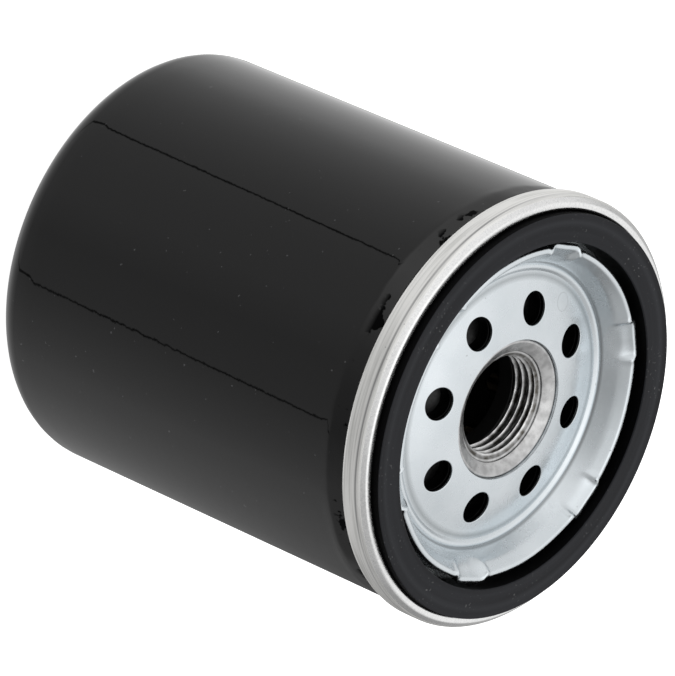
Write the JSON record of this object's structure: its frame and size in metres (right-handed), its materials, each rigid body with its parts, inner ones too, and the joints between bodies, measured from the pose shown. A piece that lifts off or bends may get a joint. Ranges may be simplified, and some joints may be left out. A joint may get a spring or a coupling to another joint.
{
  "type": "oil filter",
  "caption": "Spin-on oil filter: drawn steel can, rolled seam, pierced lid with threaded hub and square gasket, pleated element, anti-drain and bypass valves inside.",
  "frame": {"origin": "centre of the closed end's standing face", "axes": "+Z along the thread axis, from the closed end to the threaded end; +X through the first inlet hole"},
  "size_m": [0.0782, 0.0782, 0.0906],
  "materials": {
    "black_paint": "gloss",
    "zinc_sheet": "satin",
    "plate_steel": "satin",
    "nitrile": "matte",
    "sealant": "matte",
    "valve_rubber": "matte",
    "spring_steel": "satin",
    "tinned_sheet": "satin",
    "plastisol": "matte",
    "filter_paper": "matte"
  },
  "bodies": {
    "housing": {"canister": "black_paint", "seaming_lid": "zinc_sheet", "tapping_plate": "plate_steel", "gasket": "nitrile", "seam_sealant": "sealant", "element_spring": "spring_steel"},
    "anti_drain": {"anti_drain_valve": "valve_rubber"},
    "element": {"element_seal": "valve_rubber", "upper_end_cap": "tinned_sheet", "upper_adhesive": "plastisol", "pleated_media": "filter_paper", "media_seam_clip": "tinned_sheet", "center_tube": "tinned_sheet", "lower_adhesive": "plastisol", "lower_end_cap": "tinned_sheet", "bypass_seat": "tinned_sheet", "bypass_cage": "tinned_sheet", "bypass_spring": "spring_steel", "anti_drain_spring": "spring_steel"},
    "bypass": {"bypass_seal": "valve_rubber", "bypass_disc": "tinned_sheet"}
  },
  "joints": [
    {"name": "anti_drain_lift", "type": "slide", "parent": "housing", "child": "anti_drain", "axis": [0, 0, -1], "range_m": [0, 0.0012], "stiffness_N_per_m": 300, "springref_m": -0.002, "deforming": ["anti_drain_spring"]},
    {"name": "element_float", "type": "slide", "parent": "housing", "child": "element", "axis": [0, 0, -1], "range_m": [0, 0.002], "stiffness_N_per_m": 3500, "springref_m": -0.006, "deforming": ["element_spring"]},
    {"name": "bypass_open", "type": "slide", "parent": "element", "child": "bypass", "axis": [0, 0, 1], "range_m": [0, 0.0025], "stiffness_N_per_m": 1800, "springref_m": -0.004, "deforming": ["bypass_spring"]}
  ]
}
